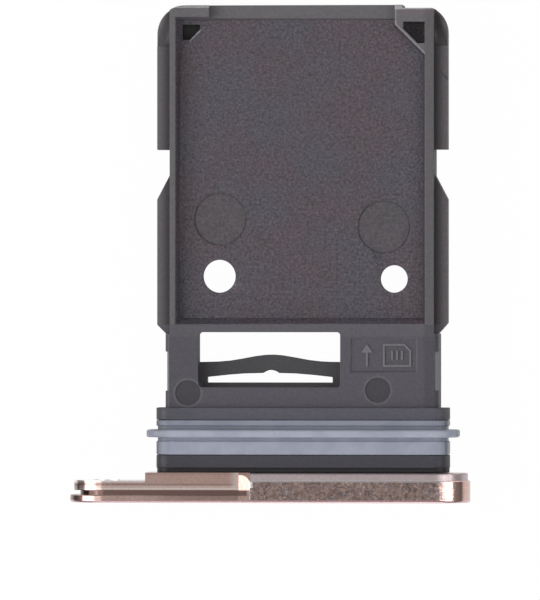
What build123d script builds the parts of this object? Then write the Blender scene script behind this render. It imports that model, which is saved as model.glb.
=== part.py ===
from build123d import *
import os

# Tray for one nano-size card, with a metal head, a moulded frame and a silicone seal.
# X runs along the head, +Y from the head's outer face to the tail, +Z up, all in millimetres.
# The origin is the middle of the head's outer face.

# Card that the tray carries
card_width = 8.80
card_length = 12.30
card_thickness = 0.67
card_cut = 1.65
card_corner_radius = 0.85

# Clearances and fits
card_side_gap = 0.075
card_depth_gap = 0.03
key_gap = 0.08
spring_preload = 0.06
seal_side_gap = 0.01
same_place = 0.01

# Head
head_length = 14.65
head_height = 2.70
head_block = 0.81
rear_step = 0.27
rear_inset = 0.09
face_round = 0.08
edge_break = 0.035
eject_radius = 0.575
eject_chamfer = 0.06

# Relief along the head's left part
front_plate = 0.285
slit_width = 0.165
slit_depth = 0.23
relief_end = -0.62
relief_inset = 0.14
slit_end = -0.73
pad_start = -4.46
pad_depth = 1.10
ramp_length = 0.42
ramp_corner = 0.34

# Tongue of the head inside the neck
tongue_width = 8.40
tongue_thickness = 0.70
tongue_reach = 2.70
tongue_hole_radius = 0.45
tongue_hole_spacing = 4.60
tongue_hole_centre = 1.90

# Neck and seal
body_offset = 1.22
neck_width = 10.67
neck_thickness = 1.95
neck_corner = 0.50
neck_start = 1.10
neck_end = 3.46
undercut_width = 0.17
undercut_depth = 0.25
seal_start = 1.735
seal_width = 1.285
seal_depth = 0.32
lip_start = 2.38
lip_width = 0.28
lip_height = 0.36
lip_bevel = 0.08
lip_foot_width = 0.14
lip_foot_depth = 0.05

# Frame, whose length is counted from the head's outer face
tray_thickness = 1.50
tray_width = 9.66
tray_length = 18.13
right_set_back = 0.12
right_step = 0.27
shoulder_width = 9.98
shoulder_chamfer = 0.13
web_thickness = 0.40
tail_chamfer = 0.06

# Side rails and the notch that the reader's catch drops into
rail_width = 10.62
rail_thickness = 0.70
rail_centre = 0.15
rail_set_back = 0.27
right_rail_lead = 0.07
rail_foot = 0.48
notch_start = 11.97
notch_length = 0.89
notch_slope = 0.92
left_corner_radius = 1.05
right_corner_radius = 1.03
lead_in_start = 16.65
lead_in_depth = 0.08

# Steep grips along the shoulder's upper edges
grip_start = 4.08
grip_end = 5.50
grip_height = 0.75

# Relief in the upper face
recess_width = 9.13
recess_centre = -0.065
recess_set_back = 0.28
recess_slope = 0.24
recess_left_slope = 0.235
recess_right_slope = 0.105
recess_tail_slope = 0.07
recess_key = 1.375
tail_wall = 0.50
sill_height = 0.05
left_block = 1.245
right_block = 1.095
key_wall = 0.10
core_floor = 0.30
core_margin = 0.01
core_tip = 0.25
left_core_tail = 0.20
left_core_width = 0.64
left_core_length = 0.55
left_core_cut = 0.37
left_core_depth = 0.32

# Window and bow spring
window_centre = 0.03
window_width = 5.19
window_before_bow = 0.91
window_behind_bow = 1.09
window_corner = 0.12
ledge_left = 0.24
ledge_right = 0.33
ledge_front = 0.16
bow_top = 0.05
bow_foot = 0.05
bow_thickness = 0.55
bow_rise = 0.27
bow_quarter_rise = 0.08
bow_hollow = 0.15
bow_root_slope = 0.12
bow_relief_width = 0.62
bow_relief_depth = 0.11

# Holes and marks
left_hole_radius = 0.60
left_hole = (-3.05, 8.25)
right_hole_radius = 0.50
right_hole = (3.34, 8.15)
large_mark_radius = 0.96
left_large_mark = (-3.00, 10.34)
right_large_mark = (2.98, 10.05)
small_mark_radius = 0.46
left_small_mark = (-4.16, 4.00)
right_small_mark = (2.78, 4.10)
mark_depth = 0.03
mark_rim = 0.05
mark_rim_depth = 0.05
field_centre = (3.00, 5.37)
field_width = 2.46
field_length = 1.27
field_depth = 0.06
field_slope = 0.06

# Places worked out from the sizes above
top = tray_thickness / 2
bay_width = card_width + 2 * card_side_gap
bay_depth = card_thickness + card_depth_gap
bay_floor = -top + bay_depth
web_top = bay_floor + web_thickness
tail_face = tray_length - tail_wall
bow_crest = tail_face - card_length + spring_preload
bow_base = bow_crest - bow_rise
bay_key = card_cut + 2 * card_side_gap - key_gap * 2 ** 0.5
right_tail = tray_length - right_set_back
right_face = right_tail - tail_wall
past_tail = tray_length + tail_wall
pill_radius = head_height / 2
eject_x = -(head_length / 2 - pill_radius)
seal_end = seal_start + seal_width
slit_back = front_plate + slit_width
left_window = window_centre - body_offset - window_width / 2
right_window = window_centre - body_offset + window_width / 2
window_start = bow_base - window_before_bow
window_end = bow_base + window_behind_bow
rail_start = window_end + rail_set_back
recess_start = window_end + recess_set_back
foot_share = (shoulder_width - tray_width) / (rail_width - tray_width)
shoulder_end = rail_start - rail_foot * (1 - foot_share)
notch_end = notch_start + notch_length
recess_left = recess_centre - recess_width / 2
recess_right = recess_centre + recess_width / 2
recess_end = tail_face + recess_tail_slope
gap_left = recess_left + left_block
gap_right = recess_right - right_block


def upright(plan, low, high):
    """Raise a plan outline from one height to another."""
    return extrude(Plane.XY.offset(low) * plan, amount=high - low)


def lengthwise(section, near, far):
    """Run an upright section from one distance behind the outer face to another."""
    return extrude(Plane.XZ.offset(-near) * section, amount=near - far)


def outline(*points):
    """Fill a closed outline of straight edges."""
    return make_face(Polyline(*points, close=True))


def rectangle(left, right, near, far):
    """Fill a rectangle given by its four sides."""
    return outline((left, near), (right, near), (right, far), (left, far))


def neck_section(inset):
    """Rounded section of the neck, drawn in by an inset or out by a negative one."""
    width = neck_width - 2 * inset
    height = neck_thickness - 2 * inset
    return Pos(body_offset, 0) * RectangleRounded(width, height, neck_corner - inset)


def pill(inset):
    """Long round-ended section of the head, drawn in by an inset."""
    return SlotOverall(head_length - 2 * inset, head_height - 2 * inset)


def left_of(x):
    """Section that covers everything left of one place along the head."""
    return Pos(x - head_length, 0) * Rectangle(2 * head_length, head_length)


def tongue():
    """Tongue that the frame is moulded round, with two holes that the plastic fills."""
    plate = Pos(body_offset, (head_block + tongue_reach) / 2) * Rectangle(
        tongue_width, tongue_reach - head_block)
    keys = [Pos(body_offset + side * tongue_hole_spacing / 2, tongue_hole_centre)
            * Circle(tongue_hole_radius) for side in (-1, 1)]
    return upright(plate - keys, -tongue_thickness / 2, tongue_thickness / 2)


def head_ramp(side):
    """Ramp from the relieved pad up to the full head, rounded at its rear corner."""
    start = relief_end - ramp_length
    plan = rectangle(start, relief_end, slit_back, pad_depth - rear_inset)
    corner = plan.vertices().group_by(Axis.Y)[-1].sort_by(Axis.X)[-1]
    body = extrude(fillet(corner, ramp_corner), amount=pill_radius)
    low = pill_radius - relief_inset
    section = outline((start, low), (relief_end, pill_radius), (relief_end, low - slit_depth),
                      (start, low - slit_depth))
    ramp = body & lengthwise(section, 0, pad_depth)
    return ramp if side > 0 else mirror(ramp, Plane.XY)


def outer_edges(solid, depth, inset):
    """Edges along the head's outline at one depth and inset."""
    reach = head_length / 2 - inset
    height = pill_radius - inset

    def on_outline(edge):
        middle = edge.center(CenterOf.BOUNDING_BOX)
        box = edge.bounding_box()
        level = box.size.Y < same_place and abs(middle.Y - depth) < same_place
        flat = box.size.Z < same_place and abs(abs(middle.Z) - height) < same_place
        round_end = abs(abs(box.min.X if middle.X < 0 else box.max.X) - reach) < same_place
        return level and (flat or round_end)

    return solid.edges().filter_by(on_outline)


def make_head():
    """Metal head: outer plate, slit and relieved pad on the left, full block on the right."""
    block = lengthwise(pill(0), 0, head_block)
    block = fillet(block.faces().sort_by(Axis.Y)[0].edges(), face_round)
    block = chamfer(outer_edges(block, head_block, 0), edge_break)
    step = lengthwise(pill(rear_inset), head_block - edge_break, head_block + rear_step)
    block += chamfer(outer_edges(step, head_block + rear_step, rear_inset), edge_break)
    relief = left_of(relief_end) - pill(relief_inset)
    slit = left_of(slit_end) - pill(relief_inset + slit_depth)
    block -= lengthwise(relief, slit_back, pad_depth)
    block -= lengthwise(slit, front_plate, slit_back)
    block = chamfer(outer_edges(block, front_plate, 0), edge_break)
    block -= lengthwise(left_of(pad_start), head_block, pad_depth)
    pad = lengthwise(left_of(relief_end) & pill(relief_inset), head_block, pad_depth)
    block += pad - lengthwise(left_of(pad_start), 0, pad_depth)
    block += head_ramp(1)
    block += head_ramp(-1)
    block += tongue()
    hole = Pos(eject_x, 0) * Circle(eject_radius)
    block -= lengthwise(hole, 0, head_block)
    mouth = block.edges().filter_by(GeomType.CIRCLE).filter_by(
        lambda edge: abs(edge.radius - eject_radius) < same_place and edge.center().Y < face_round)
    return chamfer(mouth, eject_chamfer)


def make_seal():
    """Silicone band that fills the neck's groove, with a bevelled lip between two shallow feet."""
    near = seal_start + seal_side_gap
    far = seal_end - seal_side_gap
    band = lengthwise(neck_section(0) - neck_section(seal_depth), near, far)
    foot = neck_section(0) - neck_section(lip_foot_depth)
    band -= lengthwise(foot, lip_start - lip_foot_width, lip_start)
    band -= lengthwise(foot, lip_start + lip_width, lip_start + lip_width + lip_foot_width)
    lip = lengthwise(neck_section(-lip_height), lip_start, lip_start + lip_width)
    lip = chamfer(lip.faces().filter_by(Axis.Y).edges(), lip_bevel)
    lip -= lengthwise(neck_section(lip_foot_depth), 0, neck_end)
    return band + lip


def make_neck():
    """Neck with the seal's groove, the undercut behind the head and room for the tongue."""
    undercut_end = neck_start + undercut_width
    thin = Pos(body_offset, 0) * RectangleRounded(
        neck_width, neck_thickness - 2 * undercut_depth, neck_corner)
    neck = lengthwise(thin, neck_start, undercut_end)
    neck += lengthwise(neck_section(0), undercut_end, seal_start)
    neck += lengthwise(neck_section(seal_depth), seal_start, seal_end)
    neck += lengthwise(neck_section(0), seal_end, neck_end)
    return neck


def rail_plan():
    """Plan outline of the side rails, with the notches and the rounded tail corners."""
    rail = rail_width / 2
    wall = tray_width / 2
    notch = [(rail, notch_start - notch_slope), (wall, notch_start),
             (wall, notch_end), (rail, notch_end), (rail, tray_length)]
    foot = rail_start - rail_foot
    right = [(wall, foot), (rail, rail_start + right_rail_lead)] + notch
    left = [(-x, y) for x, y in reversed(notch)]
    plan = outline(*right, *left, (-rail, rail_start), (-wall, foot))
    tail = plan.vertices().group_by(Axis.Y)[-1].sort_by(Axis.X)
    plan = fillet(tail[0], left_corner_radius)
    tail = plan.vertices().group_by(Axis.Y)[-1].sort_by(Axis.X)
    return fillet(tail[-1], right_corner_radius)


def shoulder():
    """Wider stretch between the neck and the rails, with bevelled upper edges and steep grips."""
    half = shoulder_width / 2
    cut = shoulder_chamfer
    section = outline((0, -top), (half, -top), (half, top - cut), (half - cut, top), (0, top))
    grip = outline((half, top - grip_height), (half, top), (half - cut, top))
    side = lengthwise(section, neck_end, shoulder_end) - lengthwise(grip, grip_start, grip_end)
    return side + mirror(side, Plane.YZ)


def recess_plan(left, right, near, far):
    """Plan of the upper relief, with its cut corner over the card's key."""
    return outline((left, near), (right, near), (right, far - recess_key),
                   (right - recess_key, far), (left, far))


def upper_relief():
    """Shallow relief in the upper face, with sloping sides, that opens over a sill at the tail."""
    mouth = recess_plan(recess_left, recess_right, recess_start, recess_end)
    floor = recess_plan(recess_left + recess_left_slope, recess_right - recess_right_slope,
                        recess_start + recess_slope, tail_face)
    relief = loft([Plane.XY.offset(web_top) * floor, Plane.XY.offset(top) * mouth], ruled=True)
    mouth_end = rectangle(gap_left, gap_right, tail_face - left_block, tail_face)
    sill = rectangle(gap_left, gap_right, tail_face, past_tail)
    return relief + upright(mouth_end, web_top, top) + upright(sill, web_top + sill_height, top)


def corner_cores():
    """Deep core behind the key wall, and a small one in the relief's left corner."""
    right = recess_right - core_margin
    wall_line = recess_right + recess_end - recess_key + key_wall * 2 ** 0.5
    leg = right + right_face - wall_line
    near = right_face - leg + core_tip
    far_left = right - leg + core_tip
    plan = outline((right, right_face), (right, near), (right - core_tip, near),
                   (far_left, right_face - core_tip), (far_left, right_face))
    key_core = upright(plan, core_floor - top, top)
    left = recess_left + recess_left_slope
    end = left + left_core_width
    back = tail_face - left_core_tail
    front = back - left_core_length
    plan = outline((left, back), (end, back), (end, front + left_core_cut),
                   (end - left_core_cut, front), (left, front))
    return key_core + upright(plan, web_top - left_core_depth, web_top)


def card_bay():
    """Card bay in the lower face, with a key for the card's cut corner and an open tail."""
    half = bay_width / 2
    plan = outline((-half, bow_base), (half, bow_base), (half, tail_face - bay_key),
                   (half - bay_key, tail_face), (-half, tail_face))
    corner = plan.vertices().sort_by(Axis.Y)[-2:].sort_by(Axis.X)[0]
    plan = fillet(corner, card_corner_radius - key_gap)
    bay = upright(plan, -top, bay_floor)
    gap = rectangle(gap_left, half - bay_key, tail_face - left_block, past_tail)
    return bay + upright(gap, -top, bay_floor)


def window_opening():
    """Window through the tray, in front of the bow."""
    plan = rectangle(left_window, right_window, window_start, window_end)
    plan = fillet(plan.vertices(), window_corner)
    return upright(plan, -top, top)


def bow_spring():
    """Bow that presses the card towards the tail, with the ledge that it grows from."""
    centre = (left_window + right_window) / 2
    quarter = window_width / 4
    shoulder_line = bow_base + bow_quarter_rise
    upper = Spline((left_window, bow_base), (centre - quarter, shoulder_line),
                   (centre, bow_crest), (centre + quarter, shoulder_line),
                   (right_window, bow_base), tangents=((1, 0), (1, 0)))
    foot = bow_base - bow_thickness
    hollow = foot + bow_hollow
    slot_left = left_window + ledge_left
    slot_right = right_window - ledge_right
    relief = bow_relief_width / 2
    lower = (Spline((slot_left, foot), (centre - relief, hollow),
                    tangents=((1, bow_root_slope), (1, 0)))
             + ThreePointArc((centre - relief, hollow), (centre, hollow + bow_relief_depth),
                             (centre + relief, hollow))
             + Spline((centre + relief, hollow), (slot_right, foot),
                      tangents=((1, 0), (1, -bow_root_slope))))
    ledge = window_start + ledge_front
    rim = Polyline((slot_right, foot), (slot_right, ledge), (slot_left, ledge), (slot_left, foot))
    outer = Polyline((left_window, bow_base), (left_window, window_start),
                     (right_window, window_start), (right_window, bow_base))
    solid = make_face(upper + outer) - make_face(lower + rim)
    return upright(solid, -top + bow_foot, bow_top)


def round_mark(place, radius, height):
    """Sunk disc that a mould pin leaves."""
    return upright(Pos(*place) * Circle(radius), height - mark_depth, height)


def rim_line(place, radius, height):
    """Finer line round the edge of a large mark."""
    rim = Pos(*place) * (Circle(radius) - Circle(radius - mark_rim))
    return upright(rim, height - mark_rim_depth, height)


def marks_and_holes():
    """Round mould marks, the two holes through the web and the sunk field with sloping sides."""
    cuts = [upright(Pos(*left_hole) * Circle(left_hole_radius), bay_floor, top),
            upright(Pos(*right_hole) * Circle(right_hole_radius), bay_floor, top)]
    for place in (left_large_mark, right_large_mark):
        cuts.append(round_mark(place, large_mark_radius, web_top))
        cuts.append(rim_line(place, large_mark_radius, web_top))
    for place in (left_small_mark, right_small_mark):
        cuts.append(round_mark(place, small_mark_radius, top))
    mouth = Rectangle(field_width, field_length)
    floor = Rectangle(field_width - 2 * field_slope, field_length - 2 * field_slope)
    field = loft([Pos(*field_centre, top - field_depth) * floor, Pos(*field_centre, top) * mouth])
    return cuts + [field]


def lead_in():
    """Thinner rails at the tail, which find the reader's grooves first."""
    rail_top = rail_centre + rail_thickness / 2
    strip = rectangle(tray_width / 2, rail_width, lead_in_start, past_tail)
    return upright(strip + mirror(strip, Plane.YZ), rail_top - lead_in_depth, rail_top)


def tail_bevels():
    """Bevels along the tail's edges, and the set-back of its right corner."""
    far = tray_length
    cut = tail_chamfer
    upper = outline((far, top - cut), (far, top), (far - cut, top))
    lower = outline((far, -top + cut), (far, -top), (far - cut, -top))
    strips = Plane.YZ * (upper + lower)
    bevels = extrude(strips, amount=rail_width, both=True)
    corner = rectangle(gap_right + right_step, rail_width, right_tail, past_tail)
    return bevels + upright(corner, -top, top)


def make_frame():
    """Moulded frame, built about its own centre line and then moved beside the head's."""
    rails = rail_plan()
    rail_low = rail_centre - rail_thickness / 2
    core = rectangle(-tray_width / 2, tray_width / 2, neck_end, tray_length)
    full_band = rectangle(-rail_width, rail_width, neck_end, rail_start + right_rail_lead)
    frame = upright(core & (rails + full_band), -top, top)
    frame += upright(rails, rail_low, rail_low + rail_thickness)
    frame += shoulder()
    frame -= lead_in()
    frame -= upper_relief()
    frame -= card_bay()
    frame -= corner_cores()
    frame -= tail_bevels()
    frame -= window_opening()
    frame += bow_spring()
    for cut in marks_and_holes():
        frame -= cut
    return Pos(body_offset, 0) * frame + make_neck() - tongue()


def save(name, shape):
    """Write one piece and print its volume and size."""
    solid = shape.solids()[0] if len(shape.solids()) == 1 else shape
    solid.label = name
    box = solid.bounding_box()
    size = f"{box.size.X:.2f} x {box.size.Y:.2f} x {box.size.Z:.2f} mm"
    print(f"{name}: {len(shape.solids())} solid, {shape.volume:.3f} mm3, {size}")
    export_step(solid, f"parts/{name}.step")


os.makedirs("parts", exist_ok=True)
save("head", make_head())
save("tray_frame", make_frame())
save("seal_ring", make_seal())
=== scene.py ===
# %% [markdown]
# # A sim card tray, dressed for its picture
# The tray comes as three finished solids: a metal head, a moulded frame and a silicone seal.
# This lesson gives each of them its surface, its soft edges, and then lamps and a camera.
# No solid is moved or resized, so the picture shows the tray at its true size.

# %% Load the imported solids
import math
import bpy
import bmesh
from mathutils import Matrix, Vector


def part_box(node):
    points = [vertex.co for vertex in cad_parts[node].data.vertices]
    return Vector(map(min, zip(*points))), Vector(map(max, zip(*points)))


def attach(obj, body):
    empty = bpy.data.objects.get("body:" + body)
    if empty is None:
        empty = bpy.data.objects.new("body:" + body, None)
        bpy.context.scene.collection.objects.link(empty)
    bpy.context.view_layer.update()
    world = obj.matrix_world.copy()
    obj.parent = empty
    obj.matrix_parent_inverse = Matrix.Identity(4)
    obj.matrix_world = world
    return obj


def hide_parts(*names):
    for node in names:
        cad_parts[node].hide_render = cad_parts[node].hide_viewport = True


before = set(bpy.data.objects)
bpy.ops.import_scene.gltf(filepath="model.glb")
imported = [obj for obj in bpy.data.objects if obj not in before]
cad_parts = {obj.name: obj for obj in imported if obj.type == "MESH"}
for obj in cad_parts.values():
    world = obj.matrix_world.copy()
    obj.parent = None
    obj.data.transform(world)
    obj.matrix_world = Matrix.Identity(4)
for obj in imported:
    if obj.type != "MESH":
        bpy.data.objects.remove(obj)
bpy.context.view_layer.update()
MM = 0.001
for name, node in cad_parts.items():
    low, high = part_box(name)
    size = [round((high[i] - low[i]) / MM, 2) for i in range(3)]
    print(f"{name}: {size} mm, {len(node.data.polygons)} facets")

# %% [markdown]
# ## The camera
# The tray was photographed from straight above with a long lens, a little to its right, so the
# sides that face right just show. A normal lens close by would spread the walls apart.
# The picture's scale and the row of the head's outer face set the distance and the aim.

# %% Camera over the tray
PICTURE_HEIGHT = 600
PIXELS_PER_MM = 27.4
FACE_ROW = 502.3
CAMERA_DISTANCE = 350 * MM
CAMERA_LEAN = math.radians(5)
SENSOR_HEIGHT = 24

scene = bpy.context.scene
view_height = PICTURE_HEIGHT / PIXELS_PER_MM * MM
aim = Vector((0, (FACE_ROW - PICTURE_HEIGHT / 2) / PIXELS_PER_MM * MM, 0))
back = Vector((math.sin(CAMERA_LEAN), 0, math.cos(CAMERA_LEAN)))
lens = bpy.data.cameras.new("camera")
lens.sensor_width = SENSOR_HEIGHT
lens.lens = SENSOR_HEIGHT * CAMERA_DISTANCE / view_height
lens.clip_start = 10 * MM
lens.clip_end = 10
camera = bpy.data.objects.new("camera", lens)
camera.location = aim + back * CAMERA_DISTANCE
camera.rotation_euler = (0, CAMERA_LEAN, 0)
scene.collection.objects.link(camera)
scene.camera = camera
scene.view_settings.view_transform = "Standard"
print(f"camera: lens {lens.lens:.0f} mm, aimed at y {aim.y / MM:.2f} mm")

# %% [markdown]
# ## Lamps
# The rounded ends of the head work like a mirror ball and tell how the tray was lit: a wide
# softbox on each side, and little light from straight above. A lamp's brightness is given here
# as the brightness of its face, because that is what the metal mirrors, and the power follows.
# Turns and tips are in degrees, and widths and lengths in metres.

# %% Softboxes on both sides and a front fill
LAMP_DISTANCE = 0.5
POWER_PER_BRIGHTNESS = math.pi


def softbox(name, turn, from_above, width, length, brightness):
    """Square lamp that faces the tray, turned round it and tipped away from straight above."""
    turn = math.radians(turn)
    tip = math.radians(from_above)
    out = Vector((math.sin(turn) * math.sin(tip), -math.cos(turn) * math.sin(tip), math.cos(tip)))
    data = bpy.data.lights.new(name, "AREA")
    data.shape = "RECTANGLE"
    data.size = length
    data.size_y = width
    data.energy = brightness * POWER_PER_BRIGHTNESS * width * length
    lamp = bpy.data.objects.new(name, data)
    lamp.location = aim + out * LAMP_DISTANCE
    lamp.rotation_mode = "QUATERNION"
    lamp.rotation_quaternion = out.to_track_quat("Z", "Y")
    scene.collection.objects.link(lamp)
    print(f"{name}: {data.energy:.2f} W")


softbox("left_softbox", turn=-90, from_above=57, width=0.364, length=0.50, brightness=2.9)
softbox("left_glow", turn=-90, from_above=26, width=0.19, length=0.50, brightness=0.8)
softbox("right_softbox", turn=90, from_above=46, width=0.364, length=0.14, brightness=3.7)
softbox("front_fill", turn=0, from_above=70, width=0.25, length=0.50, brightness=1.8)

# %% [markdown]
# ## Surface recipes written as sums
# A finish is a pattern worked out from the place on the tray. Wiring dozens of nodes by hand
# hides that sum, so a small class stands for one socket, and plus, minus and times on it add
# the nodes. Colours and places go through their own kinds of node, since a plain sum is grey.

# %% A socket that can be used in sums


def as_colour(value):
    """A number or a colour of three as the four numbers that a colour socket takes."""
    if isinstance(value, Wire):
        return value
    return (value, value, value, 1) if isinstance(value, (int, float)) else (*value[:3], 1)


def as_place(value):
    """A number as the three numbers that a place socket takes."""
    return (value, value, value) if isinstance(value, (int, float)) else value


class Wire:
    """One socket in a material. Sums of wires and numbers add the nodes that work them out."""

    def __init__(self, tree, socket=None):
        self.tree = tree
        self.socket = socket

    def node(self, kind, settings=None, inputs=None, out=0):
        """Add a node: first its settings, then the values or wires of its sockets."""
        made = self.tree.nodes.new(kind)
        for name, value in (settings or {}).items():
            setattr(made, name, value)
        for name, value in (inputs or {}).items():
            if isinstance(value, Wire):
                self.tree.links.new(value.socket, made.inputs[name])
            else:
                made.inputs[name].default_value = value
        return Wire(self.tree, made.outputs[out] if made.outputs else None)

    def sum(self, operation, first, second):
        """Join two values, places or colours by the kind of node that suits them."""
        kinds = {wire.socket.type for wire in (first, second) if isinstance(wire, Wire)}
        if "RGBA" in kinds:
            inputs = {0: 1.0, 6: as_colour(first), 7: as_colour(second)}
            settings = {"data_type": "RGBA", "blend_type": operation}
            return self.node("ShaderNodeMix", settings, inputs, out=2)
        if "VECTOR" in kinds:
            inputs = {0: as_place(first), 1: as_place(second)}
            return self.node("ShaderNodeVectorMath", {"operation": operation}, inputs)
        return self.node("ShaderNodeMath", {"operation": operation}, {0: first, 1: second})

    def __add__(self, other):
        return self.sum("ADD", self, other)

    def __radd__(self, other):
        return self.sum("ADD", other, self)

    def __sub__(self, other):
        return self.sum("SUBTRACT", self, other)

    def __rsub__(self, other):
        return self.sum("SUBTRACT", other, self)

    def __mul__(self, other):
        return self.sum("MULTIPLY", self, other)

    def __rmul__(self, other):
        return self.sum("MULTIPLY", other, self)

    def __pow__(self, other):
        return self.sum("POWER", self, other)

    def axes(self):
        """The three numbers of a place."""
        first = self.node("ShaderNodeSeparateXYZ", inputs={0: self})
        return [Wire(self.tree, socket) for socket in first.socket.node.outputs]


# %% [markdown]
# ## Patterns
# The finishes need four patterns: a soft step between two places, a band, a disc and a grain.
# All of them are measured in millimetres on the tray, so each stays on its own feature.

# %% Steps, bands, discs and grain


def rise(value, start, end):
    """0 before start and 1 after end, with a smooth step between."""
    inputs = {"Value": value, "From Min": start, "From Max": end}
    return value.node("ShaderNodeMapRange", {"interpolation_type": "SMOOTHSTEP"}, inputs)


def fall(value, start, end):
    """1 before start and 0 after end."""
    return 1 - rise(value, start, end)


def band(value, low, high, edge):
    """1 between low and high, and 0 outside."""
    return rise(value, low - edge, low + edge) * fall(value, high - edge, high + edge)


def disc(x, y, centre, radius, edge):
    """1 inside a round mark."""
    across = x - centre[0]
    along = y - centre[1]
    distance = (across * across + along * along) ** 0.5
    return fall(distance, radius - edge, radius + edge)


def grain(place, per_mm, detail=2.0, harshness=0.5):
    """Cloudy pattern around one half, with so many lumps to the millimetre."""
    inputs = {"Vector": place, "Scale": per_mm, "Detail": detail, "Roughness": harshness}
    return place.node("ShaderNodeTexNoise", inputs=inputs)


def absolute(value):
    """Distance from zero to either side."""
    return value.node("ShaderNodeMath", {"operation": "ABSOLUTE"}, {0: value})


# %% [markdown]
# ## Coats of paint
# A finish is laid down like coats of paint. Each coat says how much of it, where, and in which
# tone, and the next one covers it. A list of coats is easier to read than a chain of mixes, and
# a coat can be moved or left out without a look at the others.

# %% Coats, shades and bumps


def mixed(mask, first, second):
    """The first colour where the mask is 0, the second where it is 1."""
    inputs = {0: mask, 6: as_colour(first), 7: as_colour(second)}
    return mask.node("ShaderNodeMix", {"data_type": "RGBA"}, inputs, out=2)


def painted(base, coats):
    """Lay coats over a colour one by one, each given as how much, where and which tone."""
    for share, where, tone in coats:
        base = mixed(share * where, base, tone)
    return base


def shaded(base, shades):
    """Bring a colour to a share of itself in some places, each given as where and share."""
    for where, share in shades:
        base = base * (1 - (1 - share) * where)
    return base


def bumped(height, depth_mm):
    """Normal of a surface whose full height is so many millimetres."""
    return height.node("ShaderNodeBump", inputs={"Distance": depth_mm * MM, "Height": height})


def start_finish(name):
    """New material, and the place on the tray in millimetres."""
    material = bpy.data.materials.new(name)
    material.use_nodes = True
    material.node_tree.nodes.clear()
    coordinates = Wire(material.node_tree).node("ShaderNodeTexCoord", out="Object")
    return material, coordinates * (1 / MM)


def close_finish(material, shader):
    """Join the shader to the material's output."""
    shader.node("ShaderNodeOutputMaterial", inputs={"Surface": shader})
    print(f"{material.name}: {len(material.node_tree.nodes)} nodes")
    return material


# %% [markdown]
# ## Moulded plastic
# The frame is glass-filled nylon. Its mould was spark-eroded inside the relief, which leaves a
# dense grain of light and dark specks, and was smoother on the wall tops, the bar and the neck.
# The rails carry a painted shade next to the walls, which gives way to a paler tone at their
# outer edges. An image could carry all this, but it would blur up close, so each zone is found
# by its place, measured from the body's middle.

# %% Places on the frame
HAIR = 0.01
SOFT = 0.02
BODY_CENTRE = 1.22
TOP_FACE = 0.75
RELIEF_DEPTH = 0.40
WEB_FACE = TOP_FACE - RELIEF_DEPTH
RELIEF_START = 6.49
RAIL_START = 6.00
TAIL_FACE = 17.63
GAP_RIGHT = 3.405
WALL_HALF = 4.83
RAIL_HALF = 5.31
NECK_HALF = 5.335
NECK_END = 3.46
NECK_MIDDLE = 2.3
NECK_FADE = 0.5
print(f"relief: {TAIL_FACE - RELIEF_START:.2f} mm long, {RELIEF_DEPTH} mm deep")


def on_top(z):
    """1 on the upper face, and 0 in the relief and on the sides."""
    return rise(z, TOP_FACE - 0.04, TOP_FACE - HAIR)


# %% [markdown]
# ## Zones of the frame
# Each zone is one coat over the last: the relief first, then the tail, the wall tops, the
# rails, the lower part with its bar, and the neck. A later coat wins where two zones meet.

# %% First coats: the zones of the frame
RELIEF_TONE = (0.077, 0.060, 0.073)
RELIEF_COOL = (0.072, 0.063, 0.080)
TAIL_TONE = (0.110, 0.102, 0.112)
WALL_TONE = (0.122, 0.113, 0.122)
# painted shade: the rails darken next to the walls, which shade them
RAIL_WALL_SHADE = (0.042, 0.038, 0.042)
RAIL_PALE = (0.124, 0.106, 0.115)
LOWER_TONE = (0.077, 0.071, 0.087)
BAR_TONE = (0.091, 0.083, 0.100)
# painted shadow: the neck's front lies in the head's shadow, so it is darker than its rear
NECK_HEAD_SHADOW = (0.042, 0.040, 0.053)
NECK_REAR = (0.080, 0.078, 0.100)


def zone_tone(x, y, z, clouds):
    """Colour of each zone: relief, tail, wall tops, rails, lower part with its bar, and neck, with
    painted shade on the rails by the walls and on the neck's front.
    """
    aside = absolute(x)
    relief = mixed(rise(clouds, 0.40, 0.60), RELIEF_TONE, RELIEF_COOL)
    rail = mixed(rise(aside, WALL_HALF + 0.05, RAIL_HALF - 0.03), RAIL_WALL_SHADE, RAIL_PALE)
    lower = mixed(band(y, RAIL_START + 0.05, RELIEF_START, SOFT), LOWER_TONE, BAR_TONE)
    neck = mixed(rise(y, NECK_MIDDLE - NECK_FADE, NECK_MIDDLE + NECK_FADE), NECK_HEAD_SHADOW, NECK_REAR)
    return painted(relief, [
        (1, rise(y, TAIL_FACE - SOFT, TAIL_FACE + SOFT), TAIL_TONE),
        (1, on_top(z), WALL_TONE),
        (1, rise(aside, WALL_HALF - HAIR, WALL_HALF + HAIR), rail),
        (1, fall(y, RELIEF_START - SOFT, RELIEF_START), lower),
        (1, fall(y, NECK_END - HAIR, NECK_END + HAIR), neck)])


# %% [markdown]
# ## Painted highlights on edges and painted shade in creases
# The edges of the key's wall, the gap and the core's corner, and the bevels of the tail's blocks,
# get painted highlights, and a painted shade runs along the foot of each wall and of the key.
# Slanting edges are found by a sum: on the key's wall, x and y always add up to the same.

# %% Where the frame gets painted highlights and shade
CORE_SIDE = 4.50
CORE_CUT_LINE = -21.00
CORE_CUT = (-4.16, -3.72)
CORE_CUT_START = 16.80
KEY_LINE = 20.83
KEY_CORNER = 17.38
GAP_LEFT = -3.385
LEFT_BLOCK = 0.6
TAIL_END = 18.13
RIGHT_TAIL = 18.01
CREASES = (-4.50, 4.45)
CREASE_END = 16.40


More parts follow.
